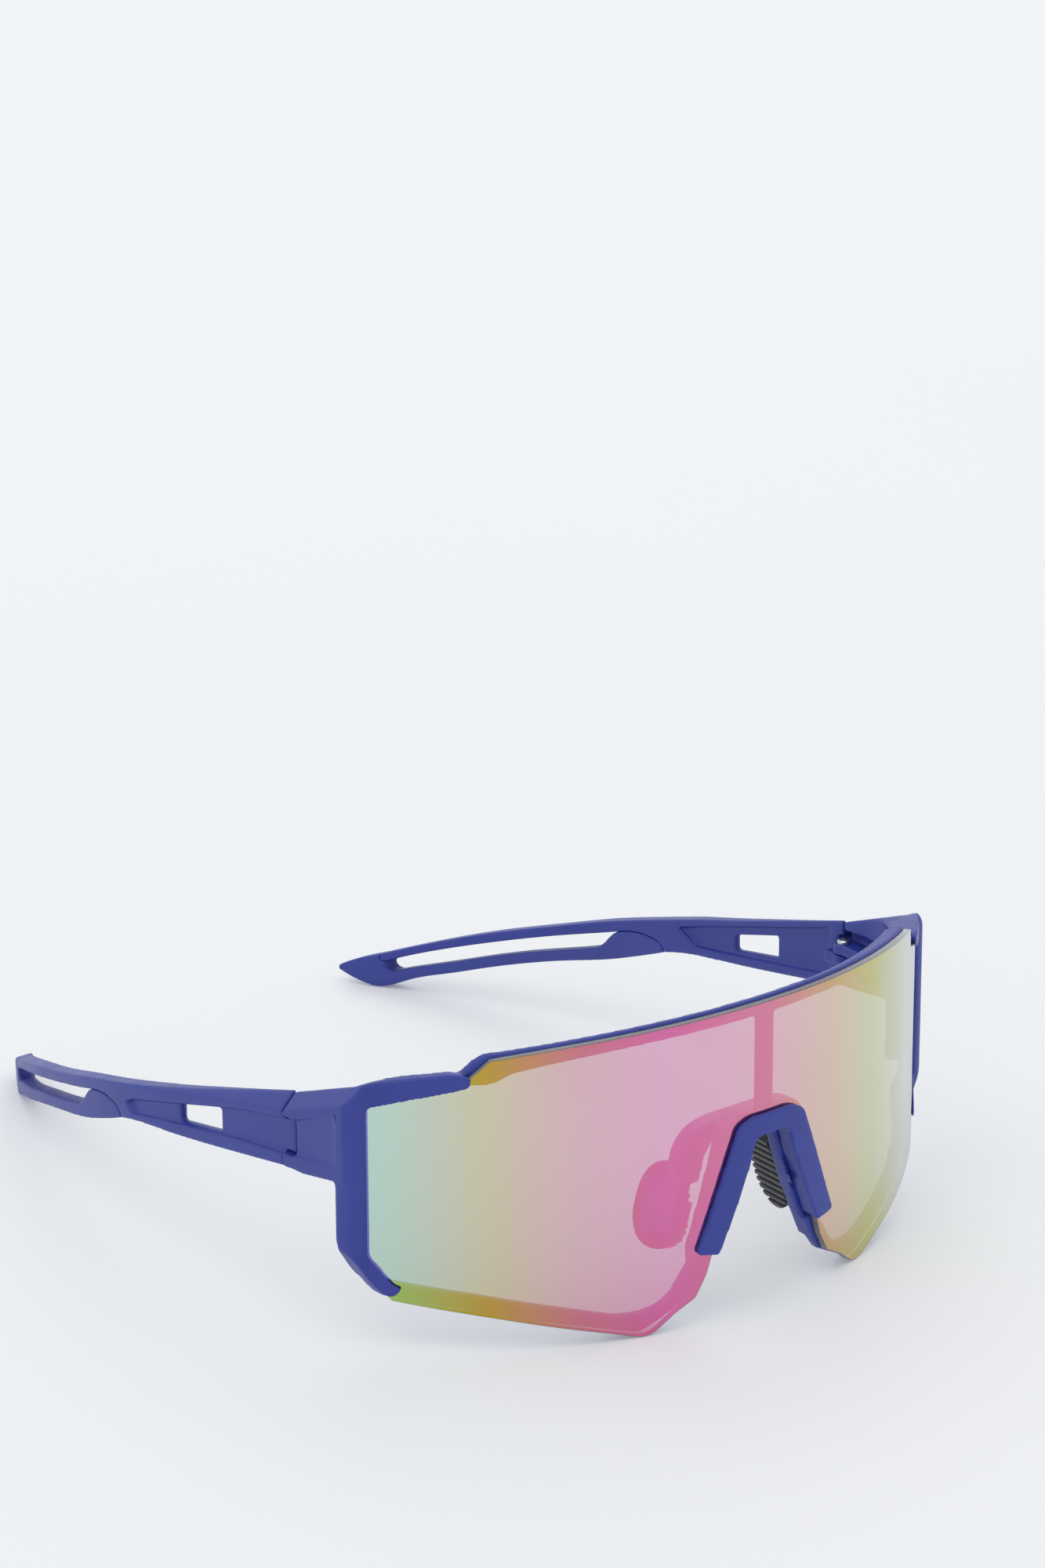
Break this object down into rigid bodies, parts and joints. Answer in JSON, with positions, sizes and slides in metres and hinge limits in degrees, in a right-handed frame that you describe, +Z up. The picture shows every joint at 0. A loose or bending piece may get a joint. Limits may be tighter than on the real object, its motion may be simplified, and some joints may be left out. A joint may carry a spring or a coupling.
{
  "type": "wraparound sport sunglasses",
  "caption": "Wraparound sport sunglasses: one mirrored shield lens in a full-rim plastic front, clipped at the nose, with folding slotted temples and ribbed rubber nose pads.",
  "frame": {"origin": "under the middle of the whole object's box, on the surface that it rests on, with the temples open", "axes": "+X to the wearer's left, across the plane of symmetry; +Y from the lens back along the temples; +Z up"},
  "size_m": [0.143, 0.1832, 0.0607],
  "materials": {
    "frame_plastic": "satin blue moulded plastic",
    "clip_plastic": "satin blue moulded plastic",
    "arm_plastic": "satin blue moulded plastic",
    "bracket_plastic": "satin blue moulded plastic",
    "tip_rubber": "soft-touch blue rubber",
    "pad_rubber": "matte black ribbed rubber",
    "mirror_lens": "rainbow mirror coating on clear polycarbonate",
    "screw_steel": "plain steel",
    "insert_brass": "plain brass"
  },
  "bodies": {
    "front": {"front_frame": "frame_plastic", "shield_lens": "mirror_lens", "nose_bridge_clip": "clip_plastic", "nose_bracket": "bracket_plastic", "right_nose_pad": "pad_rubber", "left_nose_pad": "pad_rubber", "right_hinge_screw": "screw_steel", "left_hinge_screw": "screw_steel", "right_hinge_insert": "insert_brass", "left_hinge_insert": "insert_brass"},
    "right_temple": {"right_temple_arm": "arm_plastic", "right_temple_tip": "tip_rubber"},
    "left_temple": {"left_temple_arm": "arm_plastic", "left_temple_tip": "tip_rubber"}
  },
  "joints": [
    {"name": "right_temple_fold", "type": "hinge", "parent": "front", "child": "right_temple", "pos_m": [-0.0672, -0.03855, 0.0366], "axis": [0, 0, -1], "range_deg": [0, 88]},
    {"name": "left_temple_fold", "type": "hinge", "parent": "front", "child": "left_temple", "pos_m": [0.0672, -0.03855, 0.0366], "axis": [0, 0, 1], "range_deg": [0, 80]}
  ]
}
